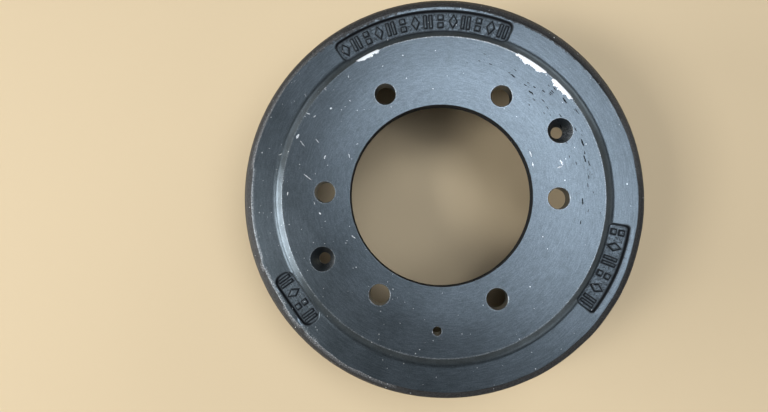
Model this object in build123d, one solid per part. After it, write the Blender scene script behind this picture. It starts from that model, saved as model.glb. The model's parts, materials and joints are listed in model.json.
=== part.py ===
from build123d import *
import os
from math import degrees, radians, tan

# A truck brake drum: one grey-iron casting, turned on its mounting flange, outer annulus,
# friction surface and open end, and left as cast elsewhere.
# Frame: +Z is the drum's axis and points out of the wheel face. The origin is on that axis,
# in the machined seat that rests against the hub. The open end is at the lowest Z.
# All lengths are millimetres and all angles are degrees.

# --- Mounting flange, clamped between the hub and the road wheel -----------------------------
flange_thickness = 16.0
centre_bore_diameter = 160.0
bore_lead_in = 1.5  # at the hub seat
hub_seat_margin = 8.0  # from the edge of the hub seat out to the edge of the wheel face

# --- Wheel stud holes -----------------------------------------------------------------------
stud_hole_count = 6
stud_circle_diameter = 205.0
stud_hole_diameter = 18.5
stud_hole_edge_break = 0.5

# --- Retaining screw holes and the small locating hole, all on one circle ---------------------
screw_circle_diameter = 237.0
screw_hole_count = 2
first_screw_angle = 30.0
screw_hole_diameter = 10.5
countersink_diameter = 22.0
countersink_angle = 45.0
locating_hole_diameter = 7.8
locating_hole_angle = 270.0
small_hole_edge_break = 0.3

# --- Raised wheel face and the annulus round it ---------------------------------------------
wheel_face_margin = 12.5  # from a countersink out to the edge of the wheel face
wheel_face_rise = 5.0  # from the annulus up to the wheel face
wheel_face_side_lean = 6.6  # how much wider the raised face is at its foot
wheel_face_edge_break = 0.4
relief_fillet_radius = 7.0  # hollow fillet at the foot of the raised face
annulus_width = 21.85  # from the foot of the raised face out to the machined edge

# --- Rim ------------------------------------------------------------------------------------
upper_bevel_width = 5.2  # the cast shoulder falls in two bevels from the machined edge
upper_bevel_drop = 2.2
lower_bevel_width = 3.7
lower_bevel_drop = 6.4
rim_thickness = 19.35
stiffening_band_rise = 8.65  # how far the band stands out from the rim
stiffening_band_width = 26.0
stiffening_band_slope = 5.0
open_end_edge_break = 1.5

# --- Inside of the drum ---------------------------------------------------------------------
web_thickness = 15.0  # of the annulus
web_step_run = 6.0
inner_corner_break = 9.0
friction_width = 95.0
friction_start_depth = 25.5  # from the hub seat to the friction surface
shoe_relief_depth = 1.5  # the groove past the end of the friction surface
shoe_lead_in = 3.0  # bevel from the open end to the friction surface

# --- Cast marking pockets, sunk in the annulus ----------------------------------------------
pocket_rim_gap = 4.3  # from a pocket out to the machined edge
pocket_depth = 2.6
pocket_draft_angle = 14.0
long_pocket_angles = (68.3, 126.7)
long_pocket_corner_round = 5.0
short_pocket_angles = (323.7, 352.1)
short_pocket_corner_round = 3.0
plate_pocket_angle = 217.4
plate_pocket_length = 50.5
plate_pocket_side_gap = 0.6  # how much narrower the plate pocket is, at each side
plate_pocket_corner_round = 6.5

# --- Raised foundry marks on the pocket floors ----------------------------------------------
mark_height = 1.7  # above the pocket floor
mark_draft_angle = 12.0
mark_stroke = 1.9
mark_length = 10.0  # across the pocket
mark_pair_spacing = 4.6
block_side = 3.4
block_spacing = 6.0
lozenge_width = 5.6
lozenge_length = 9.6
long_pocket_mark_count = 14
short_pocket_mark_count = 6
plate_pocket_mark_count = 4
pocket_end_margin = 6.5  # from a pocket's end to its first mark's centre

# --- Heights worked out from the sizes above --------------------------------------------------
hub_seat_height = 0.0
wheel_face_height = hub_seat_height + flange_thickness
annulus_height = wheel_face_height - wheel_face_rise
bevel_break_height = annulus_height - upper_bevel_drop
rim_top_height = bevel_break_height - lower_bevel_drop
web_under_height = annulus_height - web_thickness
friction_top_height = hub_seat_height - friction_start_depth
friction_end_height = friction_top_height - friction_width
open_end_height = friction_end_height - shoe_lead_in
band_foot_height = open_end_height + stiffening_band_width
pocket_floor_height = annulus_height - pocket_depth
cut_overrun = 5.0  # how far a cutting solid runs past the face that it cuts

# --- Radii worked out from the sizes above, from the bore outwards and back in to the shoes ----
bore_radius = centre_bore_diameter / 2
wheel_face_radius = (screw_circle_diameter + countersink_diameter) / 2 + wheel_face_margin
hub_seat_radius = wheel_face_radius - hub_seat_margin
web_step_radius = hub_seat_radius + web_step_run
foot_radius = wheel_face_radius + wheel_face_side_lean
machined_edge_radius = foot_radius + annulus_width
bevel_break_radius = machined_edge_radius + upper_bevel_width
rim_radius = bevel_break_radius + lower_bevel_width
band_radius = rim_radius + stiffening_band_rise
friction_radius = rim_radius - rim_thickness
relief_radius = friction_radius + shoe_relief_depth
pocket_inner_radius = foot_radius
pocket_outer_radius = machined_edge_radius - pocket_rim_gap
pocket_width = pocket_outer_radius - pocket_inner_radius
pocket_middle_radius = (pocket_inner_radius + pocket_outer_radius) / 2


def turned_section():
    """The half section that is spun round the axis: each corner's radius, height and rounding."""
    corners = [
        (bore_radius, wheel_face_height, 0),
        (wheel_face_radius - wheel_face_edge_break, wheel_face_height, 0),
        (wheel_face_radius, wheel_face_height - wheel_face_edge_break, 0),
        (foot_radius, annulus_height, relief_fillet_radius),
        (machined_edge_radius, annulus_height, 0),
        (bevel_break_radius, bevel_break_height, 0),
        (rim_radius, rim_top_height, 0),
        (rim_radius, band_foot_height, 0),
        (band_radius, band_foot_height - stiffening_band_slope, 0),
        (band_radius, open_end_height + open_end_edge_break, 0),
        (band_radius - open_end_edge_break, open_end_height, 0),
        (friction_radius + shoe_lead_in, open_end_height, 0),
        (friction_radius, friction_end_height, 0),
        (friction_radius, friction_top_height, 0),
        (relief_radius, friction_top_height + shoe_relief_depth, 0),
        (relief_radius, web_under_height - inner_corner_break, 0),
        (relief_radius - inner_corner_break, web_under_height, 0),
        (web_step_radius, web_under_height, 0),
        (hub_seat_radius, hub_seat_height, 0),
        (bore_radius + bore_lead_in, hub_seat_height, 0),
        (bore_radius, hub_seat_height + bore_lead_in, 0),
    ]
    points = [(radius, height) for radius, height, rounding in corners]
    roundings = [rounding for radius, height, rounding in corners]
    with BuildSketch(Plane.XZ) as section:
        with BuildLine():
            FilletPolyline(points, radius=roundings, close=True)
        make_face()
    return section.sketch


def drilled_hole(diameter, edge_break):
    """A cutter for a hole through the flange, with its edge broken at the wheel face."""
    radius = diameter / 2
    low = hub_seat_height - cut_overrun
    high = wheel_face_height + cut_overrun
    with BuildSketch(Plane.XZ) as profile:
        with BuildLine():
            Polyline(
                (0, low),
                (radius, low),
                (radius, wheel_face_height - edge_break),
                (radius + edge_break + cut_overrun, high),
                (0, high),
                close=True,
            )
        make_face()
    return revolve(profile.sketch, Axis.Z)


def countersunk_hole():
    """A cutter for a screw hole: a deep cone from the wheel face, then a plain throat."""
    throat_radius = screw_hole_diameter / 2
    slope = tan(radians(countersink_angle / 2))
    cone_depth = (countersink_diameter - screw_hole_diameter) / 2 / slope
    with BuildSketch(Plane.XZ) as profile:
        with BuildLine():
            Polyline(
                (0, hub_seat_height - cut_overrun),
                (throat_radius, hub_seat_height - cut_overrun),
                (throat_radius, wheel_face_height - cone_depth),
                (countersink_diameter / 2 + cut_overrun * slope, wheel_face_height + cut_overrun),
                (0, wheel_face_height + cut_overrun),
                close=True,
            )
        make_face()
    return revolve(profile.sketch, Axis.Z)


def arched_outline(angles, corner_round):
    """A pocket's outline that follows the annulus between two angles, with rounded corners."""
    start, end = angles
    with BuildSketch(Plane.XY.offset(pocket_floor_height)) as outline:
        with BuildLine():
            inner = CenterArc((0, 0), pocket_inner_radius, start, end - start)
            outer = CenterArc((0, 0), pocket_outer_radius, start, end - start)
            Line(inner @ 0, outer @ 0)
            Line(inner @ 1, outer @ 1)
        make_face()
        fillet(outline.vertices(), corner_round)
    return outline.sketch


def plate_outline():
    """The straight pocket that a pattern maker's loose plate leaves, with its rounded ends."""
    width = pocket_width - 2 * plate_pocket_side_gap
    with BuildSketch(Plane.XY.offset(pocket_floor_height)) as outline:
        with PolarLocations(pocket_middle_radius, 1, plate_pocket_angle):
            RectangleRounded(width, plate_pocket_length, plate_pocket_corner_round)
    return outline.sketch


def pocket_cutter(outline):
    """The space of a pocket, with walls that lean outwards as cast walls do."""
    return extrude(outline, amount=pocket_depth + cut_overrun, taper=-pocket_draft_angle)


def mark_outline(kind):
    """One foundry mark, across the pocket along X: a pair of bars, a lozenge or two blocks."""
    with BuildSketch() as outline:
        if kind == "bars":
            with GridLocations(0, mark_pair_spacing, 1, 2):
                Rectangle(mark_length, mark_stroke)
        elif kind == "lozenge":
            with BuildLine():
                Polyline(
                    (-lozenge_length / 2, 0),
                    (0, -lozenge_width / 2),
                    (lozenge_length / 2, 0),
                    (0, lozenge_width / 2),
                    close=True,
                )
            make_face()
        else:
            with GridLocations(block_spacing, 0, 2, 1):
                Rectangle(block_side, block_side)
    return outline.sketch


def raised_mark(index):
    """The solids of the mark at one place in a row, standing on the pocket floor."""
    kinds = ("bars", "lozenge", "blocks")
    outline = mark_outline(kinds[index % len(kinds)])
    return extrude(outline, amount=mark_height, taper=mark_draft_angle)


def marks_on_arc(angles, count):
    """A row of marks spaced evenly along an arched pocket."""
    margin = degrees(pocket_end_margin / pocket_middle_radius)
    start = angles[0] + margin
    sweep = angles[1] - margin - start
    places = PolarLocations(pocket_middle_radius, count, start, sweep, endpoint=True)
    floor = Location((0, 0, pocket_floor_height))
    return [floor * place * raised_mark(i) for i, place in enumerate(places)]


def marks_on_plate():
    """A row of marks spaced evenly along the straight pocket."""
    middle = PolarLocations(pocket_middle_radius, 1, plate_pocket_angle).locations[0]
    spacing = (plate_pocket_length - 2 * pocket_end_margin) / (plate_pocket_mark_count - 1)
    floor = Location((0, 0, pocket_floor_height))
    places = GridLocations(0, spacing, 1, plate_pocket_mark_count)
    return [floor * middle * place * raised_mark(i) for i, place in enumerate(places)]


# --- The casting, turned all over its section -------------------------------------------------
drum = revolve(turned_section(), Axis.Z)

# --- Holes drilled through the flange ----------------------------------------------------------
stud_places = PolarLocations(stud_circle_diameter / 2, stud_hole_count)
screw_places = PolarLocations(screw_circle_diameter / 2, screw_hole_count, first_screw_angle)
locating_places = PolarLocations(screw_circle_diameter / 2, 1, locating_hole_angle)
stud_hole = drilled_hole(stud_hole_diameter, stud_hole_edge_break)
locating_hole = drilled_hole(locating_hole_diameter, small_hole_edge_break)
drum -= [place * stud_hole for place in stud_places]
drum -= [place * countersunk_hole() for place in screw_places]
drum -= [place * locating_hole for place in locating_places]

# --- Cast pockets and what stands in them ------------------------------------------------------
drum -= pocket_cutter(arched_outline(long_pocket_angles, long_pocket_corner_round))
drum -= pocket_cutter(arched_outline(short_pocket_angles, short_pocket_corner_round))
drum -= pocket_cutter(plate_outline())
drum += marks_on_arc(long_pocket_angles, long_pocket_mark_count)
drum += marks_on_arc(short_pocket_angles, short_pocket_mark_count)
drum += marks_on_plate()

os.makedirs("parts", exist_ok=True)
export_step(drum, "parts/brake_drum.step")
print("brake_drum volume", round(drum.volume), "size", drum.bounding_box().size)
print("solids", len(drum.solids()), "faces", len(drum.faces()))
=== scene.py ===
# %% [markdown]
# # A truck brake drum, lying on its open end
#
# The drum is one grey-iron casting. A lathe has turned the wheel face, the annulus round it, the
# friction surface inside and the open end, and the foundry's skin is left on the rim and in the
# marking pockets. All but the friction surface and the open end is under one coat of slate
# enamel.
#
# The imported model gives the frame: +Z is the axis and points out of the wheel face, and the
# origin lies on the axis in the seat for the hub. Its flat facets show on fillets this large, so
# one finely meshed skin stands for it, with the rounded edges and the softened marks of a real
# casting. Sizes below are in millimetres, as on a drawing, and become metres at the end.

# %% Load the frame
import json
import math

import bpy
import numpy as np
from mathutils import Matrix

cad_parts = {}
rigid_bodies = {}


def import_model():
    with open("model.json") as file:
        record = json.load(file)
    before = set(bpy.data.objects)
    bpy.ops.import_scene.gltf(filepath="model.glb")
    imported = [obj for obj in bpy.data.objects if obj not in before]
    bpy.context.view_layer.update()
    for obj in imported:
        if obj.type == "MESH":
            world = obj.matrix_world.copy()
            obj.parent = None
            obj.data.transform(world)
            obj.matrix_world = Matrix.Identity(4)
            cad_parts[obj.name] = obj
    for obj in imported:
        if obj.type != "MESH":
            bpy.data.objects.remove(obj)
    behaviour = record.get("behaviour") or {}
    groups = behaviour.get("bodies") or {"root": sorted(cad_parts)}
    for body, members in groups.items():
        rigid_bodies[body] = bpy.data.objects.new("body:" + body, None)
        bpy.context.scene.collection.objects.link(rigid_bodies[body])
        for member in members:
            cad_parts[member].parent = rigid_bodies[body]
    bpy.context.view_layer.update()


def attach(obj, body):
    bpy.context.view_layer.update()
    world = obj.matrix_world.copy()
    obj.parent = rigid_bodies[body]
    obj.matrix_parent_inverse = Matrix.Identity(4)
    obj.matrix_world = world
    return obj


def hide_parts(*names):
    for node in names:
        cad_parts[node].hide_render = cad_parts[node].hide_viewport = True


for leftover in list(bpy.data.objects):
    bpy.data.objects.remove(leftover)
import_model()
MM = 0.001

# %% [markdown]
# ## Camera
#
# The view is from above, nearly square to the wheel face, from about half a metre. A short lens
# that close is what lets the eye see down the wall of the bore and of each hole. The camera
# leans a few degrees, so the near side of the rim shows a little more than the far side. The
# aim stays level, and a small shift brings the drum to its place in the frame.

# %% Camera
camera = bpy.data.objects.new("camera", bpy.data.cameras.new("camera"))
bpy.context.scene.collection.objects.link(camera)
camera.data.sensor_width = 36.0
camera.data.lens = 27.05
camera.data.shift_y = -0.017
camera.location = (-20.17 * MM, -19.92 * MM, 524.47 * MM)
camera.rotation_euler = [math.radians(a) for a in (2.42, 3.27, 1.65)]
camera.data.clip_start = 0.01
bpy.context.scene.camera = camera
print("camera height over the origin in mm", round(camera.location.z / MM, 1))

# %% [markdown]
# ## Sizes of the drum
#
# These repeat the model's own sizes, because the skin has to lie where the casting lies. Only
# the raised marks, further down, are drawn a little larger than the model's.

# %% Sizes in millimetres
BORE_R = 80.0
WHEEL_FACE_Z = 16.0
WHEEL_FACE_R = 142.0
FOOT_R = 148.6
ANNULUS_Z = 11.0
RELIEF_ROUND = 7.0
MACHINED_R = 170.45
RIM_R = 179.35
BAND_R = 188.0
OPEN_END_Z = -123.5
FRICTION_R = 160.0
FRICTION_TOP_Z = -25.5
FRICTION_END_Z = -120.5
RELIEF_R = 161.5
WEB_UNDER_Z = -4.0
WEB_STEP_R = 140.0
HUB_SEAT_R = 134.0

STUD_CIRCLE_R = 102.5
STUD_HOLE_R = 9.25
SCREW_CIRCLE_R = 118.5
SCREW_HOLE_R = 5.25
SCREW_ANGLES = (30, 210)
COUNTERSINK_R = 11.0
COUNTERSINK_TAN = math.tan(math.radians(22.5))
LOCATING_HOLE_R = 3.9
LOCATING_HOLE_ANGLE = 270

POCKET_DEPTH = 2.6
POCKET_INNER_R = FOOT_R
POCKET_OUTER_R = 166.15
POCKET_MIDDLE_R = (POCKET_INNER_R + POCKET_OUTER_R) / 2
POCKET_HALF_WIDTH = (POCKET_OUTER_R - POCKET_INNER_R) / 2

# %% [markdown]
# ## The turned section
#
# Nearly all of the drum is a surface of revolution. It could be a spun curve, but a grid worked
# out directly keeps every edge row where it is wanted. The section is a list of corners, each
# with the rounding that the tool, the file or the foundry left on it. Either side of each
# rounding lies a support point, so that the smooth shading of the rounding doesn't creep over
# the flat beside it.

# %% Section with rounded corners
COLUMNS = 288  # round the axis, 1.25 degrees apart
SUPPORT = 0.35


def rounded_section(corners, steps=3, longest=14.0):
    """Points along a section whose corners are (radius, height, rounding).

    A rounding r at a corner of half angle a starts r / tan(a) before the corner, and its centre
    is r / sin(a) away along the bisector. Straight runs are then divided evenly so that none is
    longer than `longest`.
    """
    corners = [np.array(c, float) for c in corners]
    points = [corners[0][:2]]
    for before, corner, after in zip(corners, corners[1:], corners[2:]):
        here, rounding = corner[:2], corner[2]
        runs = [np.linalg.norm(other[:2] - here) for other in (before, after)]
        back, ahead = (before[:2] - here) / runs[0], (after[:2] - here) / runs[1]
        supports = [min(SUPPORT, 0.2 * run) for run in runs]
        if rounding == 0:
            points.append(here)
            continue
        half = math.acos(np.clip(back @ ahead, -1, 1)) / 2
        reach = rounding / math.tan(half)
        bisector = (back + ahead) / np.linalg.norm(back + ahead)
        centre = here + bisector * rounding / math.sin(half)
        first, last = here + back * reach - centre, here + ahead * reach - centre
        start = math.atan2(first[1], first[0])
        turn = (math.atan2(last[1], last[0]) - start + math.pi) % (2 * math.pi) - math.pi
        count = max(steps, math.ceil(abs(turn) / math.radians(10))) if rounding > 4 else steps
        angles = start + turn * np.linspace(0, 1, count + 1)
        arc = centre + rounding * np.column_stack([np.cos(angles), np.sin(angles)])
        points += [here + back * (reach + supports[0]), *arc, here + ahead * (reach + supports[1])]
    points.append(corners[-1][:2])
    points = np.array(points)
    gaps = np.linalg.norm(np.diff(points, axis=0), axis=1)
    shares = np.maximum(np.ceil(gaps / longest).astype(int), 1)
    run = np.concatenate([[0], np.cumsum(gaps)])
    stations = np.concatenate([np.linspace(a, b, n, endpoint=False)
                               for a, b, n in zip(run, run[1:], shares)] + [run[-1:]])
    return np.column_stack([np.interp(stations, run, points[:, i]) for i in range(2)])


FACE_FLAT = (BORE_R + 0.4 + SUPPORT, WHEEL_FACE_R - 0.9 - SUPPORT)  # radii of the holes' field
SEAT_FLAT = (BORE_R + 1.5 + 0.6 + SUPPORT, HUB_SEAT_R - 0.6)
FINE_FROM, FINE_TO = 147.9, 167.5

bore_section = rounded_section([
    (SEAT_FLAT[0], 0, 0),
    (BORE_R + 1.5, 0, 0.4),
    (BORE_R, 1.5, 0.4),
    (BORE_R, WHEEL_FACE_Z, 0.35),
    (FACE_FLAT[0], WHEEL_FACE_Z, 0),
])
shoulder_section = rounded_section([
    (FACE_FLAT[1], WHEEL_FACE_Z, 0),
    (WHEEL_FACE_R, WHEEL_FACE_Z, 0.6),
    (FOOT_R, ANNULUS_Z, RELIEF_ROUND),
    (FINE_TO + 1, ANNULUS_Z, 0),
])
outer_section = rounded_section([
    (FINE_TO, ANNULUS_Z, 0),
    (MACHINED_R, ANNULUS_Z, 0.8),
    (175.65, 8.8, 4.0),
    (RIM_R, 2.4, 6.5),
    (RIM_R, -97.5, 3.0),
    (BAND_R - 0.07, -102.5, 2.5),
    (BAND_R - 0.07, OPEN_END_Z, 1.5),
    (FRICTION_R + 3, OPEN_END_Z, 0.5),
    (FRICTION_R, FRICTION_END_Z, 1.0),
    (FRICTION_R, FRICTION_TOP_Z, 0.3),
    (RELIEF_R, FRICTION_TOP_Z + 1.5, 0.5),
    (RELIEF_R, WEB_UNDER_Z - 9, 6.0),
    (RELIEF_R - 9, WEB_UNDER_Z, 6.0),
    (WEB_STEP_R, WEB_UNDER_Z, 3.0),
    (HUB_SEAT_R, 0, 0.5),
    (SEAT_FLAT[1], 0, 0),
], steps=2, longest=20.0)
print("section rows", len(bore_section), len(shoulder_section), len(outer_section))

# %% [markdown]
# ## Surfaces as arrays
#
# Each surface is a grid of points over two parameters, and neighbours share the points of their
# common edge exactly, so welding by place closes the skin. The collector below keeps the
# points and the faces as whole arrays.

# %% Collecting grids
sheets_of_points, sheets_of_faces = [], []


def column_points(radii, heights, columns):
    """Points (r cos t, r sin t, z) for rows of radii and heights and columns t = 1.25 k degrees."""
    turns = np.radians(np.mod(columns, COLUMNS) * (360.0 / COLUMNS))
    radii, heights = np.asarray(radii)[:, None], np.asarray(heights)[:, None]
    flat = np.ones_like(turns)[None, :]
    return np.stack([radii * np.cos(turns), radii * np.sin(turns), heights * flat], axis=-1)


def keep(points, faces):
    """Store one surface: its points, and its faces as rows of point numbers, -1 for no point."""
    offset = sum(len(p) for p in sheets_of_points)
    sheets_of_points.append(points.reshape(-1, 3))
    if faces.shape[1] == 3:
        faces = np.column_stack([faces, np.full(len(faces), -1 - offset)])
    sheets_of_faces.append(faces + offset)


def keep_grid(points, closed=False):
    """Store a grid of rows by columns. A closed grid joins its last column to its first."""
    rows, columns = points.shape[:2]
    numbers = np.arange(rows * columns).reshape(rows, columns)
    if closed:
        numbers = np.column_stack([numbers, numbers[:, :1]])
    quads = np.stack([numbers[:-1, :-1], numbers[1:, :-1], numbers[1:, 1:], numbers[:-1, 1:]], -1)
    keep(points, quads.reshape(-1, 4))


every_column = np.arange(COLUMNS)
keep_grid(column_points(bore_section[:, 0], bore_section[:, 1], every_column), closed=True)
print("bore rows", len(bore_section))

# %% [markdown]
# ## The flange with its nine holes
#
# The flat of the wheel face and the hub seat under it are cut into twelve sectors of 30
# degrees. Where a sector has a hole, its surface runs from the hole's edge out to the sector's
# border: a point is (1 - s) hole(t) + s border(t), with t once round and s from 0 to 1. That
# puts neat rings round each hole, which a boolean cut would not. The hole's wall is a small
# section carried round the same directions.

# %% Flange sectors and holes
SECTOR = COLUMNS // 12
ACROSS = 18  # rows from the bore to the edge of the wheel face
RING_SHARES = np.array([0.0, 0.06, 0.2, 0.45, 0.72, 1.0])


def sector_border(first_column, flat):
    """The border of a sector, once round: inner arc, one side, outer arc and the other side."""
    columns = first_column + np.arange(SECTOR + 1)
    radii = np.linspace(flat[0], flat[1], ACROSS + 1)
    grid = column_points(radii, np.zeros(ACROSS + 1), columns)
    return np.concatenate([grid[0, :-1], grid[:-1, -1], grid[-1, :0:-1], grid[:0:-1, 0]])


def hole_edge(first_column, hole, radius, height):
    """A circle of points round a hole, each on the way from its centre to the sector's border.

    The ways are always those to the wheel face's border, so that the wall of the hole meets the
    wheel face and the hub seat point by point.
    """
    ways = sector_border(first_column, FACE_FLAT) - hole
    ways /= np.linalg.norm(ways, axis=1)[:, None]
    circle = hole + ways * radius
    circle[:, 2] = height
    return circle


def flange_sector(first_column, hole, flat, height, edge_radius, faces_up):
    """A flat sector at one height, with a hole of edge_radius, or whole where hole is None."""
    if hole is None:
        columns = first_column + np.arange(SECTOR + 1)
        grid = column_points(np.linspace(*flat, ACROSS + 1), np.full(ACROSS + 1, height), columns)
    else:
        border = sector_border(first_column, flat)
        border[:, 2] = height
        shares = RING_SHARES[:, None, None]
        grid = hole_edge(first_column, hole, edge_radius, height) * (1 - shares) + border * shares
        grid = np.concatenate([grid, grid[:, :1]], axis=1)[:, ::-1]  # the border runs clockwise
    keep_grid(grid if faces_up else grid[:, ::-1])


def hole_wall(first_column, hole, section):
    """The wall of a hole: one circle of points for each (radius, height) of its section."""
    circles = [hole_edge(first_column, hole, radius, height) for radius, height in section]
    keep_grid(np.array(circles), closed=True)


def drilled_section(radius, edge_break):
    """Half section of a plain hole, from the wheel face down to the hub seat."""
    return rounded_section([
        (radius + edge_break + 0.6, WHEEL_FACE_Z, 0),
        (radius + edge_break, WHEEL_FACE_Z, 0.15),
        (radius, WHEEL_FACE_Z - edge_break, 0.25),
        (radius, 0, 0.2),
        (radius + 0.6, 0, 0),
    ], steps=2, longest=20)


cone_foot = WHEEL_FACE_Z - (COUNTERSINK_R - SCREW_HOLE_R) / COUNTERSINK_TAN
countersunk_section = rounded_section([
    (COUNTERSINK_R + 0.6, WHEEL_FACE_Z, 0),
    (COUNTERSINK_R, WHEEL_FACE_Z, 0.25),
    (SCREW_HOLE_R, cone_foot, 0.3),
    (SCREW_HOLE_R, 0, 0.2),
    (SCREW_HOLE_R + 0.6, 0, 0),
], steps=2, longest=20)
stud_section = drilled_section(STUD_HOLE_R, 0.5)
locating_section = drilled_section(LOCATING_HOLE_R, 0.3)
holes_by_angle = {angle: (STUD_CIRCLE_R, stud_section) for angle in range(0, 360, 60)}
holes_by_angle |= {angle: (SCREW_CIRCLE_R, countersunk_section) for angle in SCREW_ANGLES}
holes_by_angle[LOCATING_HOLE_ANGLE] = (SCREW_CIRCLE_R, locating_section)
for angle in range(0, 360, 30):
    first_column = round((angle - 15) / 360 * COLUMNS)
    hole, section = None, stud_section
    if angle in holes_by_angle:
        circle_radius, section = holes_by_angle[angle]
        turn = math.radians(angle)
        hole = circle_radius * np.array([math.cos(turn), math.sin(turn), 0])
        hole_wall(first_column, hole, section)
    flange_sector(first_column, hole, FACE_FLAT, WHEEL_FACE_Z, section[0, 0], faces_up=True)
    flange_sector(first_column, hole, SEAT_FLAT, 0.0, section[-1, 0], faces_up=False)
print("holes", len(holes_by_angle), "points round each", len(sector_border(0, FACE_FLAT)))

# %% [markdown]
# ## The annulus with its marking pockets
#
# The three pockets were made by loose pieces in the foundry's pattern, so they have sloping
# walls, rounded edges and a rough floor with raised marks. The annulus is a height field:
# each point of a fine grid knows its distance to the pocket's outline, negative inside, and the
# ground falls smoothly from the annulus to the floor as that distance passes zero. The marks
# rise the same way. The grid is fine only where the pockets are, and a strip of triangles joins
# its close columns to the drum's wider ones.

# %% Height of the annulus
LONG_POCKET = (68.3, 126.7)
SHORT_POCKET = (323.7, 352.1)
PLATE_POCKET = 217.4
PLATE_HALF_LENGTH = 25.25
PLATE_SIDE_GAP = 0.6
LONG_CORNER, SHORT_CORNER, PLATE_CORNER = 5.0, 3.0, 6.5
LONG_MARKS, SHORT_MARKS, PLATE_MARKS = 14, 6, 4
MARK_HEIGHT = 1.7
MARK_STROKE, MARK_LENGTH, MARK_PAIR_SPACING = 2.2, 11.4, 4.9
BLOCK_SIDE, BLOCK_SPACING = 4.2, 7.0
LOZENGE_WIDTH, LOZENGE_LENGTH = 6.6, 11.2
POCKET_END_MARGIN = 6.5


def smooth_step(low, high, x):
    """0 below low, 1 above high, and 3 t^2 - 2 t^3 between."""
    t = np.clip((x - low) / (high - low), 0, 1)
    return t * t * (3 - 2 * t)


def box_distance(x, y, half_x, half_y, corner=0.0):
    """Distance to a rectangle with rounded corners, negative inside it."""
    qx, qy = np.abs(x) - half_x + corner, np.abs(y) - half_y + corner
    outside = np.hypot(np.maximum(qx, 0), np.maximum(qy, 0))
    return outside + np.minimum(np.maximum(qx, qy), 0) - corner


def lozenge_distance(x, y, half_x, half_y):
    """Distance to a lozenge's edge lines, from |x| / half_x + |y| / half_y = 1."""
    return (np.abs(x) / half_x + np.abs(y) / half_y - 1) / math.hypot(1 / half_x, 1 / half_y)


def grain(x, y, cell, seed):
    """Smooth noise in -1..1: random values on a square lattice of `cell`, eased between."""
    table = np.random.default_rng(seed).uniform(-1, 1, (64, 64))
    i, j = np.floor(x / cell).astype(int), np.floor(y / cell).astype(int)
    u, v = smooth_step(0, 1, x / cell - i), smooth_step(0, 1, y / cell - j)
    corners = [table[(i + a) % 64, (j + b) % 64] for a in (0, 1) for b in (0, 1)]
    return (corners[0] * (1 - u) * (1 - v) + corners[1] * (1 - u) * v
            + corners[2] * u * (1 - v) + corners[3] * u * v)


def mark_distance(index, across, along):
    """Distance to one raised mark: a pair of bars, a lozenge or two blocks, by turns."""
    if index % 3 == 0:
        return box_distance(across, np.abs(along) - MARK_PAIR_SPACING / 2,
                            MARK_LENGTH / 2, MARK_STROKE / 2)
    if index % 3 == 1:
        return lozenge_distance(across, along, LOZENGE_LENGTH / 2, LOZENGE_WIDTH / 2)
    return box_distance(np.abs(across) - BLOCK_SPACING / 2, along, BLOCK_SIDE / 2, BLOCK_SIDE / 2)


def turned_frame(x, y, angle):
    """Distance along and across the ray at `angle` degrees: (radial - middle radius, sideways)."""
    c, s = math.cos(math.radians(angle)), math.sin(math.radians(angle))
    return x * c + y * s - POCKET_MIDDLE_R, -x * s + y * c


def arched_pocket(x, y, angles, count, corner):
    """Distances to an arched pocket's outline and to the nearest of its marks."""
    radius, middle = np.hypot(x, y), sum(angles) / 2
    turn = (np.degrees(np.arctan2(y, x)) - middle + 180) % 360 - 180
    half_turn = (angles[1] - angles[0]) / 2
    beyond = radius * np.radians(np.abs(turn) - half_turn)
    edge = box_distance(beyond + 100, radius - POCKET_MIDDLE_R, 100, POCKET_HALF_WIDTH, corner)
    margin = math.degrees(POCKET_END_MARGIN / POCKET_MIDDLE_R)
    places = np.linspace(angles[0] + margin, angles[1] - margin, count)
    marks = [mark_distance(i, *turned_frame(x, y, place)) for i, place in enumerate(places)]
    return edge, np.min(marks, axis=0)


def plate_pocket(x, y):
    """The same for the straight pocket, whose marks stand in a straight row."""
    across, along = turned_frame(x, y, PLATE_POCKET)
    edge = box_distance(across, along, POCKET_HALF_WIDTH - PLATE_SIDE_GAP, PLATE_HALF_LENGTH,
                        PLATE_CORNER)
    reach = PLATE_HALF_LENGTH - POCKET_END_MARGIN
    places = np.linspace(-reach, reach, PLATE_MARKS)
    marks = [mark_distance(i, across, along - place) for i, place in enumerate(places)]
    return edge, np.min(marks, axis=0)


def pocket_distances(x, y):
    """Distances to the nearest pocket's outline and to the nearest mark, negative inside them."""
    found = [arched_pocket(x, y, LONG_POCKET, LONG_MARKS, LONG_CORNER),
             arched_pocket(x, y, SHORT_POCKET, SHORT_MARKS, SHORT_CORNER), plate_pocket(x, y)]
    return [np.min(distances, axis=0) for distances in zip(*found)]


# %% Fine grid of the annulus
FINER = 8
pocket_columns = [(165, 183), (53, 103), (258, 284)]
fine_steps = np.full(COLUMNS, 1)
for first, last in pocket_columns:
    fine_steps[first:last] = FINER
fine_starts = np.concatenate([[0], np.cumsum(fine_steps)])
fine_columns = np.concatenate([k + np.arange(n) / n for k, n in enumerate(fine_steps)])
fine_radii = np.linspace(FINE_FROM, FINE_TO, 43)
fine_heights = np.interp(fine_radii, shoulder_section[:, 0], shoulder_section[:, 1])
fine = column_points(fine_radii, fine_heights, fine_columns)
from_edge, from_mark = pocket_distances(fine[..., 0], fine[..., 1])
sunk = 1 - smooth_step(-0.45, 1.15, from_edge)
raised = 1 - smooth_step(-0.65, 0.35, from_mark)
floor_z = ANNULUS_Z - POCKET_DEPTH + MARK_HEIGHT * raised
skin_grain = 0.10 * grain(fine[..., 0], fine[..., 1], 1.1, 3) + 0.12 * grain(
    fine[..., 0], fine[..., 1], 2.7, 4)
fine[..., 2] += sunk * (floor_z - fine[..., 2] + skin_grain)
keep_grid(fine, closed=True)
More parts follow.
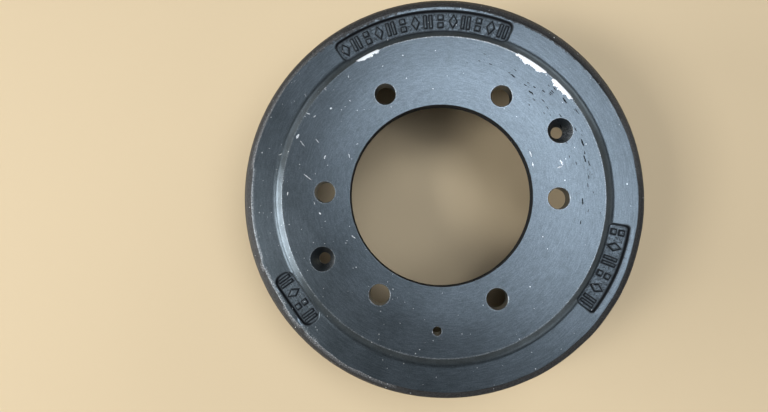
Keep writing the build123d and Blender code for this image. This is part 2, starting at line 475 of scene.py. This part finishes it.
print("annulus grid", fine.shape, "depth", round(ANNULUS_Z - fine[..., 2].min(), 2))


# %% Joining strips and the rest of the turned skin
def keep_strip(fine_row, coarse_row, fine_inside):
    """Triangles between a row of fine columns and a row of the drum's own columns.

    The first half of each step's fine edges close on its first coarse point, the rest on the
    second, and one more triangle fills the middle.
    """
    total = len(fine_row)
    step = np.repeat(np.arange(COLUMNS), fine_steps)
    place = np.arange(total) - fine_starts[step]
    near = np.where(place < fine_steps[step] // 2, step, (step + 1) % COLUMNS)
    edges = np.column_stack([np.arange(total), (np.arange(total) + 1) % total, total + near])
    steps = np.arange(COLUMNS)
    middle = fine_starts[:-1] + fine_steps // 2
    fills = np.column_stack([middle, total + (steps + 1) % COLUMNS, total + steps])
    faces = np.concatenate([edges, fills])
    keep(np.concatenate([fine_row, coarse_row]), faces[:, ::-1] if fine_inside else faces)


inner_part = shoulder_section[shoulder_section[:, 0] < FINE_FROM - 0.3]
inner_grid = column_points(inner_part[:, 0], inner_part[:, 1], every_column)
keep_grid(inner_grid, closed=True)
keep_strip(fine[0], inner_grid[-1], fine_inside=False)

outer_part = outer_section[1:]
outer_grid = column_points(outer_part[:, 0], outer_part[:, 1], every_column)
keep_grid(outer_grid, closed=True)
keep_strip(fine[-1], outer_grid[0], fine_inside=True)
print("inner rows", len(inner_part), "outer rows", len(outer_part))

# %% [markdown]
# ## Cast skin
#
# The rim and the shoulder were never turned. Their skin waves by a few tenths of a millimetre,
# and the shoulder's edge wanders, because the casting sat a little off the lathe's axis. Moving
# the edge of the turned annulus by one or two millimetres is enough to see it.

# %% Weld the skin and let its cast parts wander
points = np.concatenate(sheets_of_points)
faces = np.concatenate(sheets_of_faces)
_, first_uses, numbers = np.unique(np.round(points, 4), axis=0, return_index=True,
                                   return_inverse=True)
points = points[first_uses]
faces = np.append(numbers.ravel(), -1)[faces]

radius = np.hypot(points[:, 0], points[:, 1])
turn = np.arctan2(points[:, 1], points[:, 0])
height = points[:, 2]
outside = (radius > FINE_TO + 0.1) & (height > OPEN_END_Z + 1)

lean = smooth_step(FINE_TO, MACHINED_R - 0.7, radius) * smooth_step(2.0, 10.2, height)
shift = (0.45 + 0.64 * np.cos(turn) - 1.11 * np.sin(turn)
         + 0.8 * np.cos(2 * turn - math.radians(276))
         + 0.35 * grain(180 * np.cos(turn) + 900, 180 * np.sin(turn) + 900, 16.0, 11))
wave = 0.22 * grain(RIM_R * turn + 900, height + 900, 9.0, 12) * np.cos(turn / 2) ** 2
wave += 0.18 * grain(180 * np.cos(turn) + 900, 180 * np.sin(turn) + height + 900, 13.0, 13)
rough_wall = outside * (1 - smooth_step(-3.0, 3.0, height) * 0.6) * smooth_step(9.5, 6.0, height)
rim_shift = 0.15 + 0.6 * np.cos(turn - math.radians(315))
rim_lean = smooth_step(MACHINED_R, RIM_R - 1, radius) * (height > -96)
relief_shift = 0.9 * np.cos(turn - math.radians(335))
relief_lean = (smooth_step(137, 141, radius) * smooth_step(154.0, 149.0, radius)
               * (height > ANNULUS_Z - 3))
moved = (radius + outside * (lean * shift + rim_lean * rim_shift) + relief_lean * relief_shift
         - rough_wall * np.abs(wave))
points[:, 0], points[:, 1] = moved * np.cos(turn), moved * np.sin(turn)
print("welded points", len(points), "faces", len(faces))

# %% [markdown]
# ## What the finish needs to know
#
# Nine numbers go with each point, for the materials to read. Three say what the surface is:
# cast skin, the floor of a pocket, or an edge strip where the tool skipped over the skin. One
# holds painted shade with some dirt: dark lines round the pockets and the marks, the dark wall
# of the bore and a painted shadow past the shoulder's edge on the right. One holds the rubbing
# of the edges, with a painted highlight on one side of each countersink. The last four say how
# thickly flakes, chips, scratches and scuffs lie. All are plain functions of the place.

# %% Values that the finish reads
degrees_round = np.degrees(turn) % 360


def hump(angle, middle, half_width):
    """1 at `middle` degrees, falling smoothly to 0 half_width away."""
    off = np.abs((angle - middle + 180) % 360 - 180)
    return 1 - smooth_step(0, half_width, off)


on_annulus = (radius > FINE_FROM) & (radius < FINE_TO) & (height > 7)
from_edge, from_mark = pocket_distances(points[:, 0], points[:, 1])
sunk = np.where(on_annulus, 1 - smooth_step(-0.45, 1.15, from_edge), 0.0)
never_turned = (radius > MACHINED_R - 0.2) & (height < ANNULUS_Z - 0.02) & (height > -110)
never_turned |= (height < -3) & (height > FRICTION_TOP_Z + 1) & (radius < 176)
cast_share = np.where(never_turned, 1.0, 0.0)

rim_side = smooth_step(POCKET_MIDDLE_R, POCKET_OUTER_R, radius)
# Painted shade with some dirt: a dark line round each pocket's outline, heavier on the rim side,
# and a dark line round each raised mark.
pocket_outline_shade_and_dirt = hump(from_edge, 0.1, 1.5 + 0.9 * rim_side) * on_annulus * (0.6 + 0.4 * rim_side)
mark_outline_shade_and_dirt = hump(from_mark, 0.25, 1.3) * sunk
# Painted shade: the bore's wall and its chamfer are darkened nearly to black, as they lie in shade.
bore_wall = (radius < BORE_R + 1.35) & (height < WHEEL_FACE_Z - 0.1)
past_edge = radius - MACHINED_R - lean * shift
# Painted shadow: a dark line just past the turned annulus's edge, on the right side only.
edge_shadow = (hump(past_edge, 1.6, 1.5) * (height > 5) * (radius > FINE_TO)
               * hump(degrees_round, 25, 100))
# These darken the coat as one value, painted shade and dirt together.
painted_shade_and_grime = np.maximum.reduce([pocket_outline_shade_and_dirt, 0.95 * mark_outline_shade_and_dirt, 0.92 * bore_wall, 0.75 * edge_shadow])

edge_line = np.where((np.abs(past_edge) < 0.5) & (height > ANNULUS_Z - 0.7),
                     0.12 + 0.66 * hump(degrees_round, 205, 105), 0.0)
face_line = np.where((np.abs(radius - WHEEL_FACE_R + 0.35) < 0.75) & (height > WHEEL_FACE_Z - 0.5),
                     0.25 + 0.95 * hump(degrees_round, 84, 46) + 0.3 * hump(degrees_round, 270, 50),
                     0.0)
rubbed_and_painted_highlight = np.maximum(edge_line, face_line)
for angle, (circle_radius, section) in holes_by_angle.items():
    aside = np.hypot(points[:, 0] - circle_radius * math.cos(math.radians(angle)),
                     points[:, 1] - circle_radius * math.sin(math.radians(angle)))
    ring = (aside < section[0, 0] - 0.1) & (height > WHEEL_FACE_Z - 0.45)
    rubbed_and_painted_highlight = np.where(ring, 0.4, rubbed_and_painted_highlight)
    # Painted highlight: the side of each countersink's cone towards 335 degrees is given the pale
    # colour of bare iron.
    if section is countersunk_section:
        facing = np.degrees(np.arctan2(
            points[:, 1] - circle_radius * math.sin(math.radians(angle)),
            points[:, 0] - circle_radius * math.cos(math.radians(angle))))
        cone = (aside < COUNTERSINK_R) & (height > cone_foot + 0.3) & (height < WHEEL_FACE_Z)
        rubbed_and_painted_highlight = np.where(cone, 0.9 * hump(facing % 360, 335, 85), rubbed_and_painted_highlight)

flaking = np.maximum.reduce([
    hump(degrees_round, 57, 13), 0.97 * hump(degrees_round, 43, 11),
    0.95 * hump(degrees_round, 119, 11), 0.3 * hump(degrees_round, 90, 45),
    0.16 * hump(degrees_round, 175, 60)])
chipped = (0.30 + 0.70 * hump(degrees_round, 225, 120)) * (1 + cast_share)
chipped = np.where(height > -12, chipped, 0.4 * chipped)
scratched = hump(degrees_round, 160, 48)
skin_left = np.maximum(0.66 * hump(degrees_round, 118, 36), 0.52 * hump(degrees_round, 62, 50))
unturned = skin_left * smooth_step(164.5, 170.5, radius) * (height > ANNULUS_Z - 1)
scuffed = (hump(degrees_round, 35, 66) * smooth_step(108, 128, radius)
           * (1 - smooth_step(138, 141, radius)))
print("points in pockets", int((sunk > 0.5).sum()), "on rubbed edges", int((rubbed_and_painted_highlight > 0).sum()))

# %% [markdown]
# ## The casting as one mesh
#
# All the surfaces are now one closed skin. Its faces must point outwards, which the signed
# volume shows: it has to be positive and near the solid model's 3.92 million cubic millimetres.

# %% Build the mesh
mesh = bpy.data.meshes.new("drum_skin")
corner_counts = np.where(faces[:, 3] < 0, 3, 4)
loops = faces[faces >= 0]
mesh.vertices.add(len(points))
mesh.vertices.foreach_set("co", (points * MM).ravel())
mesh.loops.add(len(loops))
mesh.loops.foreach_set("vertex_index", loops.astype(np.int32))
mesh.polygons.add(len(faces))
mesh.polygons.foreach_set("loop_start", (np.cumsum(corner_counts) - corner_counts).astype(np.int32))
mesh.update(calc_edges=True)
print("mesh valid before mending", not mesh.validate(verbose=False))
for name, values in (("cast_share", cast_share), ("rubbed_and_painted_highlight", rubbed_and_painted_highlight), ("flaking", flaking),
                     ("chipped", chipped), ("scuffed", scuffed), ("painted_shade_and_grime", painted_shade_and_grime),
                     ("scratched", scratched), ("pocketed", sunk), ("unturned", unturned)):
    layer = mesh.attributes.new(name, "FLOAT", "POINT")
    layer.data.foreach_set("value", np.asarray(values, np.float32))
mesh.shade_smooth()
drum = bpy.data.objects.new("drum_skin", mesh)
bpy.context.scene.collection.objects.link(drum)

corner = points[faces[:, :3]]
volume = np.einsum("ij,ij->i", corner[:, 0], np.cross(corner[:, 1], corner[:, 2])).sum() / 6
quads = faces[faces[:, 3] >= 0]
rest = points[quads[:, [0, 2, 3]]]
volume += np.einsum("ij,ij->i", rest[:, 0], np.cross(rest[:, 1], rest[:, 2])).sum() / 6
print("signed volume in mm3", round(volume), "triangles", int((corner_counts - 2).sum()))

# %% Closed and pointing outwards
after_third = np.where(faces[:, 3] < 0, faces[:, 0], faces[:, 3])
ends = np.concatenate([faces[:, [0, 1]], faces[:, [1, 2]],
                       np.column_stack([faces[:, 2], after_third]), quads[:, [3, 0]]])
_, uses = np.unique(np.sort(ends, axis=1), axis=0, return_counts=True)
_, same_way = np.unique(ends, axis=0, return_counts=True)
print("edges", len(uses), "not shared by two faces", int((uses != 2).sum()),
      "used twice the same way", int((same_way > 1).sum()))

# %% [markdown]
# ## Materials
#
# Two small tools serve every finish: one turns a written sRGB colour into the linear one that
# light works in, and one adds a shader node with its settings and its links.

# %% Colour and node tools
def srgb(text):
    """The linear colour of an sRGB hex value."""
    shares = np.array([int(text[i:i + 2], 16) for i in (1, 3, 5)]) / 255
    return (*np.where(shares < 0.04045, shares / 12.92, ((shares + 0.055) / 1.055) ** 2.4), 1.0)


def add(tree, kind, settings=None, links=None):
    """Adds one node. Settings name its properties or unlinked inputs; links feed its inputs."""
    node = tree.nodes.new("ShaderNode" + kind)
    for name, value in (settings or {}).items():
        if isinstance(name, str) and hasattr(node, name):
            setattr(node, name, value)
        else:
            node.inputs[name].default_value = value
    for name, source in (links or {}).items():
        tree.links.new(getattr(source, "outputs", [source])[0], node.inputs[name])
    return node


def new_material(name):
    """An empty material and its node tree."""
    material = bpy.data.materials.new(name)
    material.use_nodes = True
    material.node_tree.nodes.clear()
    return material, material.node_tree


# %% [markdown]
# ### Slate enamel on grey iron
#
# The coat is a thin semi-gloss enamel with a metallic pigment, sprayed straight on to the turned
# iron. The eye gets three things from it: a dark slate body, a broad cool sheen that follows the
# lamps, and faint rings where the lathe's feed shows through. Where the skin is cast, the same
# coat lies on coarse sand marks, so it looks darker and dull. Where it is knocked off, pale iron
# shows.

# %% Enamel: places and patterns
TURNING_PITCH = 1.1 * MM  # the lathe's feed is nearer 0.3 mm, drawn coarser to show
MOTTLE_SIZE = 30 * MM
PEEL_SIZE = 1.4 * MM
SAND_SIZE = 1.3 * MM
GRIT_SIZE = 0.9 * MM

enamel, tree = new_material("slate_enamel_on_grey_iron")
place = add(tree, "TexCoord").outputs["Object"]
axes = add(tree, "SeparateXYZ", links={0: place})
level = add(tree, "CombineXYZ", links={0: axes.outputs[0], 1: axes.outputs[1]})
from_axis = add(tree, "VectorMath", {"operation": "LENGTH"}, {0: level}).outputs["Value"]
way_out = add(tree, "VectorMath", {"operation": "NORMALIZE"}, {0: level})
around = add(tree, "VectorMath", {"operation": "SCALE", "Scale": 16.0}, {0: way_out})
along_section = add(tree, "Math", {"operation": "ADD"}, {0: from_axis, 1: axes.outputs[2]})
feed = add(tree, "Math", {"operation": "DIVIDE", 1: TURNING_PITCH}, {0: along_section})
feed_place = add(tree, "CombineXYZ", links={2: feed})
ring_place = add(tree, "VectorMath", {"operation": "ADD"}, {0: around, 1: feed_place})
rings = add(tree, "TexNoise", {"Scale": 1.0, "Detail": 2.0}, {"Vector": ring_place})
mottle = add(tree, "TexNoise", {"Scale": 1 / MOTTLE_SIZE, "Detail": 5.0, "Roughness": 0.6},
             {"Vector": place})
peel = add(tree, "TexNoise", {"Scale": 1 / PEEL_SIZE, "Detail": 2.0}, {"Vector": place})
sand = add(tree, "TexNoise", {"Scale": 1 / SAND_SIZE, "Detail": 4.0, "Roughness": 0.65},
           {"Vector": place})
grit = add(tree, "TexNoise", {"Scale": 1 / GRIT_SIZE, "Detail": 3.0, "Roughness": 0.7},
           {"Vector": place})
shares = {name: add(tree, "Attribute", {"attribute_name": name}).outputs["Fac"]
          for name in ("cast_share", "rubbed_and_painted_highlight", "flaking", "chipped", "scuffed", "painted_shade_and_grime",
                       "scratched", "pocketed", "unturned")}

# %% [markdown]
# Damage to a coat is a pattern with a threshold. Chips are spots round scattered points, and
# fewer of them pass where `chipped` is low. Scratches are the same spots drawn out along one
# way, and scuffs are drawn out round the axis, as a stack of drums rubs when it is turned. Flakes
# are a noise that has to rise over a line, and the line drops towards the edge of the wheel
# face. The knocks that stand out are placed one by one.

# %% Enamel: chips, flakes and hairlines
CHIP_SPACING = 9 * MM
SPECK_SPACING = 3.6 * MM
SCRATCH_SPACING = 9 * MM


def scattered(where, spacing, size, odds, share):
    """1 inside the scattered spots that pass: a spot round each Voronoi point, sized at random."""
    spots = add(tree, "TexVoronoi", {"Scale": 1 / spacing}, {"Vector": where})
    chance = add(tree, "SeparateColor", links={0: spots.outputs["Color"]})
    needed = add(tree, "Math", {"operation": "MULTIPLY", 1: odds}, {0: share})
    picked = add(tree, "Math", {"operation": "LESS_THAN"}, {0: chance.outputs[0], 1: needed})
    reach = add(tree, "MapRange", {3: 0.3 * size, 4: size}, {0: chance.outputs[1]})
    near = add(tree, "Math", {"operation": "LESS_THAN"}, {0: spots.outputs["Distance"], 1: reach})
    return add(tree, "Math", {"operation": "MULTIPLY"}, {0: near, 1: picked})


def jittered(spacing):
    """The place, pushed about by a small noise so that round spots turn ragged."""
    jitter = add(tree, "TexNoise", {"Scale": 2.2 / spacing, "Detail": 1.0}, {"Vector": place})
    nudge = add(tree, "VectorMath", {"operation": "SCALE", "Scale": 0.25 * spacing},
                {0: jitter.outputs["Color"]})
    return add(tree, "VectorMath", {"operation": "ADD"}, {0: place, 1: nudge})


def drawn_out(where, angle, ratio):
    """The place squeezed along the way at `angle` degrees, which draws spots out to lines."""
    return add(tree, "Mapping", {"vector_type": "TEXTURE", "Rotation": (0, 0, math.radians(angle)),
                                 "Scale": (1 / ratio, 1.0, 1 / ratio)}, {"Vector": where})


pale_marks = [scattered(jittered(CHIP_SPACING), CHIP_SPACING, 0.06, 0.36, shares["chipped"]),
        scattered(jittered(SPECK_SPACING), SPECK_SPACING, 0.11, 0.34, shares["chipped"])]
for angle in (28.0, 118.0):
    bent = jittered(3 * SCRATCH_SPACING)
    pale_marks.append(scattered(drawn_out(bent, angle, 0.10), SCRATCH_SPACING / 4, 0.085, 0.20,
                          shares["scratched"]))

ragged = add(tree, "TexNoise", {"Scale": 1 / (3.5 * MM), "Detail": 4.0, "Roughness": 0.6},
             {"Vector": place})
towards_edge = add(tree, "MapRange", {1: 134.5 * MM, 2: 141.0 * MM, 3: 0.0, 4: 1.0},
                   {0: from_axis})
on_face = add(tree, "Math", {"operation": "GREATER_THAN", 1: 15.4 * MM}, {0: axes.outputs[2]})
edge_pull = add(tree, "Math", {"operation": "MULTIPLY"}, {0: towards_edge, 1: shares["flaking"]})
pull_on_face = add(tree, "Math", {"operation": "MULTIPLY"}, {0: edge_pull, 1: on_face})
flake_level = add(tree, "Math", {"operation": "ADD"}, {0: pull_on_face, 1: ragged})
flakes = add(tree, "MapRange", {1: 1.02, 2: 1.08, 3: 0.0, 4: 1.0}, {0: flake_level})
pale_marks.append(flakes)

# Rubbed edges, and also the painted highlight on the countersinks' cones, which comes in by the
# same value.
wear_noise = add(tree, "MapRange", {1: 0.50, 2: 0.62, 3: 0.10, 4: 0.80}, {0: grit})
pale_marks.append(add(tree, "Math", {"operation": "MULTIPLY"}, {0: shares["rubbed_and_painted_highlight"], 1: wear_noise}))

HAIR_CIRCLE_R = 130 * MM
bent_axes = add(tree, "SeparateXYZ", links={0: jittered(7 * MM)})
arc = add(tree, "Math", {"operation": "ARCTAN2"},
          {0: bent_axes.outputs[1], 1: bent_axes.outputs[0]})
arc_squeezed = add(tree, "Math", {"operation": "MULTIPLY", 1: 0.22 * HAIR_CIRCLE_R}, {0: arc})
bent_level = add(tree, "CombineXYZ", links={0: bent_axes.outputs[0], 1: bent_axes.outputs[1]})
bent_radius = add(tree, "VectorMath", {"operation": "LENGTH"}, {0: bent_level}).outputs["Value"]
ring_spots = add(tree, "CombineXYZ", links={0: bent_radius, 1: arc_squeezed})
dark_hairs = [scattered(ring_spots, 2.8 * MM, 0.27, 0.80, shares["scuffed"]),
              scattered(ring_spots, 1.6 * MM, 0.30, 0.40, shares["scuffed"])]
dark_hair = add(tree, "Math", {"operation": "MAXIMUM"}, {0: dark_hairs[0], 1: dark_hairs[1]})

# The knocks that stand out, each a thin ellipse: x, y, length and width in mm, degrees.
KNOCKS = [
    (-128.4, 49.6, 4.6, 2.0, 62), (-124.0, 43.5, 7.0, 0.55, -52), (-99.2, 75.4, 2.4, 1.6, 20),
    (-119.6, 70.3, 3.4, 1.0, -20), (-113.8, 67.8, 3.0, 0.8, 40), (-103.2, 31.6, 3.4, 1.3, 70),
    (-118.2, 13.4, 9.0, 0.55, -35), (-106.0, -18.6, 2.6, 1.2, -50), (-75.4, -38.6, 4.4, 0.9, -35),
    (-84.6, 104.6, 3.0, 0.6, -80), (-110.6, 46.0, 5.0, 0.5, -48), (104.3, 31.5, 5.5, 1.6, -62),
    (102.8, 27.5, 4.4, 1.3, 24), (77.6, 38.5, 5.4, 1.1, -68), (79.8, 29.0, 4.6, 0.9, -80),
    (-52.0, 88.5, 3.0, 0.9, 15), (-135.6, -2.0, 3.4, 0.8, 85), (-96.5, -66.0, 3.2, 1.0, 30)]
knock_place = jittered(2.0 * MM)
broken = add(tree, "MapRange", {1: 0.42, 2: 0.52, 3: 0.15, 4: 1.0}, {0: grit})
for x, y, length, width, angle in KNOCKS:
    inside = add(tree, "Mapping", {
        "vector_type": "TEXTURE", "Location": (x * MM, y * MM, 0.0155),
        "Rotation": (0, 0, math.radians(angle)),
        "Scale": (length / 2 * MM, width / 2 * MM, 2 * MM)}, {"Vector": knock_place})
    far = add(tree, "VectorMath", {"operation": "LENGTH"}, {0: inside}).outputs["Value"]
    inside_it = add(tree, "Math", {"operation": "LESS_THAN", 1: 1.0}, {0: far})
    pale_marks.append(add(tree, "Math", {"operation": "MULTIPLY"}, {0: inside_it, 1: broken}))

worn_and_painted_highlight = pale_marks[0]
for mask in pale_marks[1:]:
    worn_and_painted_highlight = add(tree, "Math", {"operation": "MAXIMUM"}, {0: worn_and_painted_highlight, 1: mask})
turned_share = add(tree, "Math", {"operation": "SUBTRACT", 0: 1.0}, {1: shares["cast_share"]})

# %% Enamel: colour, gloss and relief
body = add(tree, "Mix", {"data_type": "RGBA", 6: srgb("#424b50"), 7: srgb("#515a61")},
           {0: mottle}).outputs[2]
ring_tone = add(tree, "MapRange", {1: 0.3, 2: 0.7, 3: 0.84, 4: 1.16}, {0: rings})
grit_tone = add(tree, "MapRange", {1: 0.3, 2: 0.7, 3: 0.72, 4: 1.30}, {0: grit})
tone = add(tree, "Math", {"operation": "MULTIPLY"}, {0: ring_tone, 1: grit_tone})
toned = add(tree, "VectorMath", {"operation": "SCALE"}, {0: body, "Scale": tone})
sand_share = add(tree, "MapRange", {1: 0.38, 2: 0.66, 3: 0.0, 4: 1.0}, {0: sand})
cast_tone = add(tree, "Mix", {"data_type": "RGBA", 6: srgb("#0e0e0f"), 7: srgb("#333435")},
                {0: sand_share}).outputs[2]
skin_level = add(tree, "Math", {"operation": "ADD"}, {0: shares["unturned"], 1: ragged})
patches = add(tree, "MapRange", {1: 0.84, 2: 0.98, 3: 0.0, 4: 0.9}, {0: skin_level})
cast_mix = add(tree, "Math", {"operation": "MAXIMUM"}, {0: shares["cast_share"], 1: patches})
coat = add(tree, "Mix", {"data_type": "RGBA"}, {0: cast_mix, 6: toned, 7: cast_tone}).outputs[2]
soot = add(tree, "MapRange", {1: 0.50, 2: 0.60, 3: 0.0, 4: 0.6}, {0: sand})
pocket_soot = add(tree, "Math", {"operation": "MULTIPLY"}, {0: soot, 1: shares["pocketed"]})
# Painted shade and dirt: the dark outlines, the bore's wall and the painted shadow by the
# shoulder's edge, with the scuffs and the soot in the pockets, pull the coat towards near black and
# take its shine.
painted_shade_and_dirt = add(tree, "Math", {"operation": "MAXIMUM"}, {0: shares["painted_shade_and_grime"], 1: dark_hair})
painted_shade_and_dirt = add(tree, "Math", {"operation": "MAXIMUM"}, {0: painted_shade_and_dirt, 1: pocket_soot})
coat_with_painted_shade = add(tree, "Mix", {"data_type": "RGBA", 7: srgb("#0c0d10")}, {0: painted_shade_and_dirt, 6: coat}).outputs[2]
colour = add(tree, "Mix", {"data_type": "RGBA", 7: srgb("#d5dadd")}, {0: worn_and_painted_highlight, 6: coat_with_painted_shade}).outputs[2]

gloss = add(tree, "MapRange", {1: 0.3, 2: 0.7, 3: 0.30, 4: 0.34}, {0: mottle})
rough_share = add(tree, "Math", {"operation": "MULTIPLY_ADD", 1: 0.25},
                  {0: shares["pocketed"], 2: cast_mix})
dull = add(tree, "Math", {"operation": "MULTIPLY", 1: 0.30}, {0: rough_share})
dull_in_dirt_and_shade = add(tree, "Math", {"operation": "MULTIPLY_ADD", 1: 0.45}, {0: painted_shade_and_dirt, 2: dull})
roughness = add(tree, "Math", {"operation": "ADD"}, {0: gloss, 1: dull_in_dirt_and_shade})
shine = add(tree, "MapRange", {3: 0.5, 4: 0.08}, {0: painted_shade_and_dirt})
pigment = add(tree, "MapRange", {3: 0.82, 4: 0.15}, {0: cast_mix})
clear_of_shade_and_dirt = add(tree, "Math", {"operation": "SUBTRACT", 0: 1.0}, {1: painted_shade_and_dirt})
pigment_clear_of_shade_and_dirt = add(tree, "Math", {"operation": "MULTIPLY"}, {0: pigment, 1: clear_of_shade_and_dirt})
worn_metal = add(tree, "Mix", {"data_type": "FLOAT", 3: 0.25}, {0: worn_and_painted_highlight, 2: pigment_clear_of_shade_and_dirt})

ring_relief = add(tree, "Math", {"operation": "MULTIPLY"}, {0: rings, 1: turned_share})
hollow = add(tree, "MapRange", {"interpolation_type": "SMOOTHSTEP", 1: 62 * MM, 2: 120 * MM,
                                3: 0.0, 4: 1.0}, {0: from_axis})
relief = add(tree, "Bump", {"Strength": 1.0, "Distance": 1.6 * MM}, {"Height": hollow})
relief = add(tree, "Bump", {"Strength": 1.0, "Distance": 0.012 * MM},
             {"Height": ring_relief, "Normal": relief})
relief = add(tree, "Bump", {"Strength": 1.0, "Distance": 0.012 * MM},
             {"Height": peel, "Normal": relief})
relief = add(tree, "Bump", {"Strength": 1.0, "Distance": 0.02 * MM},
             {"Height": grit, "Normal": relief})
sand_relief = add(tree, "Math", {"operation": "MULTIPLY"}, {0: sand, 1: rough_share})
relief = add(tree, "Bump", {"Strength": 1.0, "Distance": 0.45 * MM},
             {"Height": sand_relief, "Normal": relief})
relief = add(tree, "Bump", {"Strength": 1.0, "Distance": -0.05 * MM},
             {"Height": worn_and_painted_highlight, "Normal": relief})
shader = add(tree, "BsdfPrincipled", {}, {"Base Color": colour, "Roughness": roughness,
                                          "Specular IOR Level": shine,
                                          "Metallic": worn_metal.outputs[0], "Normal": relief})
add(tree, "OutputMaterial", links={"Surface": shader})
mesh.materials.append(enamel)
print("enamel nodes", len(tree.nodes))

# %% [markdown]
# ### Bare turned iron
#
# The shoes run on bare iron, so the friction surface and the open end get no coat. Fresh grey
# iron off a lathe is a mid-grey metal with fine rings and a slight brown bloom.

# %% Bare turned iron
iron, tree = new_material("bare_turned_grey_iron")
place = add(tree, "TexCoord").outputs["Object"]
axes = add(tree, "SeparateXYZ", links={0: place})
level = add(tree, "CombineXYZ", links={0: axes.outputs[0], 1: axes.outputs[1]})
from_axis = add(tree, "VectorMath", {"operation": "LENGTH"}, {0: level}).outputs["Value"]
way_out = add(tree, "VectorMath", {"operation": "NORMALIZE"}, {0: level})
around = add(tree, "VectorMath", {"operation": "SCALE", "Scale": 9.0}, {0: way_out})
along_section = add(tree, "Math", {"operation": "SUBTRACT"}, {0: from_axis, 1: axes.outputs[2]})
feed = add(tree, "Math", {"operation": "DIVIDE", 1: TURNING_PITCH}, {0: along_section})
feed_place = add(tree, "CombineXYZ", links={2: feed})
ring_place = add(tree, "VectorMath", {"operation": "ADD"}, {0: around, 1: feed_place})
rings = add(tree, "TexNoise", {"Scale": 1.0, "Detail": 3.0}, {"Vector": ring_place})
bloom = add(tree, "TexNoise", {"Scale": 1 / MOTTLE_SIZE, "Detail": 5.0}, {"Vector": place})
bloom_share = add(tree, "MapRange", {1: 0.48, 2: 0.75, 3: 0.0, 4: 0.55}, {0: bloom})
metal = add(tree, "Mix", {"data_type": "RGBA", 6: srgb("#72706d"), 7: srgb("#94928d")},
            {0: rings}).outputs[2]
colour = add(tree, "Mix", {"data_type": "RGBA", 7: srgb("#6f5d4c")}, {0: bloom_share, 6: metal})
roughness = add(tree, "MapRange", {1: 0.3, 2: 0.7, 3: 0.32, 4: 0.50}, {0: rings})
relief = add(tree, "Bump", {"Strength": 1.0, "Distance": 0.02 * MM}, {"Height": rings})
shader = add(tree, "BsdfPrincipled", {"Metallic": 0.9},
             {"Base Color": colour.outputs[2], "Roughness": roughness, "Normal": relief})
add(tree, "OutputMaterial", links={"Surface": shader})
mesh.materials.append(iron)

face_points = np.where(faces < 0, faces[:, :1], faces)
face_radius = radius[face_points].mean(axis=1)
face_height = height[face_points].mean(axis=1)
turned_bare = (face_radius < 162.9) & (face_radius > 155) & (face_height < FRICTION_TOP_Z + 0.4)
turned_bare |= (face_height < OPEN_END_Z + 0.3)
mesh.polygons.foreach_set("material_index", turned_bare.astype(np.int32))
print("faces of bare iron", int(turned_bare.sum()))

# %% [markdown]
# ## Floor and light
#
# The floor is plain pale board. Three soft boxes overhead stand for one bright ceiling panel
# that bends round the upper right, two on the left stand for windows, and weak ones close to
# the floor for the rest of the room. The walls are pale, so the eye and the metal see them, and
# they add next to no light.

# %% Floor
floor_mesh = bpy.data.meshes.new("floor")
FLOOR_REACH = 3.0
floor_mesh.from_pydata([(x, y, OPEN_END_Z * MM) for x, y in
                        ((-FLOOR_REACH, -FLOOR_REACH), (FLOOR_REACH, -FLOOR_REACH),
                         (FLOOR_REACH, FLOOR_REACH), (-FLOOR_REACH, FLOOR_REACH))],
                       [], [(0, 1, 2, 3)])
floor = bpy.data.objects.new("floor", floor_mesh)
bpy.context.scene.collection.objects.link(floor)
board, tree = new_material("pale_board")
shader = add(tree, "BsdfPrincipled", {"Base Color": srgb("#d2be9b"), "Roughness": 0.9})
add(tree, "OutputMaterial", links={"Surface": shader})
floor_mesh.materials.append(board)


# %% Lamps and room
def softbox(name, azimuth, zenith, distance, size, power, colour="#ffffff"):
    """A rectangular lamp facing the drum from `azimuth` and `zenith` degrees off overhead."""
    lamp = bpy.data.lights.new(name, "AREA")
    lamp.shape = "RECTANGLE"
    lamp.size, lamp.size_y = size
    lamp.energy = power
    lamp.color = srgb(colour)[:3]
    holder = bpy.data.objects.new(name, lamp)
    a, z = math.radians(azimuth), math.radians(zenith)
    holder.location = (distance * math.sin(z) * math.cos(a), distance * math.sin(z) * math.sin(a),
                       distance * math.cos(z))
    holder.rotation_euler = (-holder.location).to_track_quat("-Z", "Y").to_euler()
    bpy.context.scene.collection.objects.link(holder)


SKY = "#f1f6ff"
for softbox_settings in (
        ("overhead_upper", 75, 15, 1.6, (0.60, 0.50), 6.8, SKY),
        ("overhead_right", 25, 18, 1.6, (0.70, 0.50), 5.8, SKY),
        ("overhead_lower", 349, 21, 1.6, (0.60, 0.50), 3.8, SKY),
        ("side_softbox", 197, 38, 2.4, (0.80, 0.80), 27.0),
        ("low_softbox", 190, 77, 3.0, (1.80, 0.90), 74.0),
        ("back_softbox", 45, 70, 2.4, (1.60, 1.40), 13.5),
        ("low_upper_left", 150, 77, 3.0, (1.30, 0.80), 7.0),
        ("low_lower_right", 315, 70, 2.4, (1.60, 1.40), 7.5),
        ("low_right", 0, 70, 2.4, (1.60, 1.40), 3.0)):
    softbox(*softbox_settings)
world = bpy.data.worlds.new("studio")
world.use_nodes = True
tree = world.node_tree
tree.nodes.clear()
way = add(tree, "SeparateXYZ", links={0: add(tree, "TexCoord").outputs["Generated"]})
rays = add(tree, "LightPath").outputs
seen = add(tree, "Math", {"operation": "MAXIMUM"},
           {0: rays["Is Camera Ray"], 1: rays["Is Glossy Ray"]})
seen = add(tree, "Math", {"operation": "MAXIMUM"}, {0: seen, 1: rays["Is Transmission Ray"]})
wall = add(tree, "MapRange", {"interpolation_type": "SMOOTHSTEP", 1: 0.05, 2: 0.45,
                              3: 0.60, 4: 0.0}, {0: way.outputs[2]})
wall_seen = add(tree, "Math", {"operation": "MULTIPLY_ADD", 2: 0.05}, {0: wall, 1: seen})
glow = add(tree, "Background", {"Color": srgb("#e8e2d8")}, {"Strength": wall_seen})
add(tree, "OutputWorld", links={"Surface": glow})
bpy.context.scene.world = world
bpy.context.scene.view_settings.view_transform = "Standard"

# %% Hand over to the frame
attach(drum, "root")
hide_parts("brake_drum")
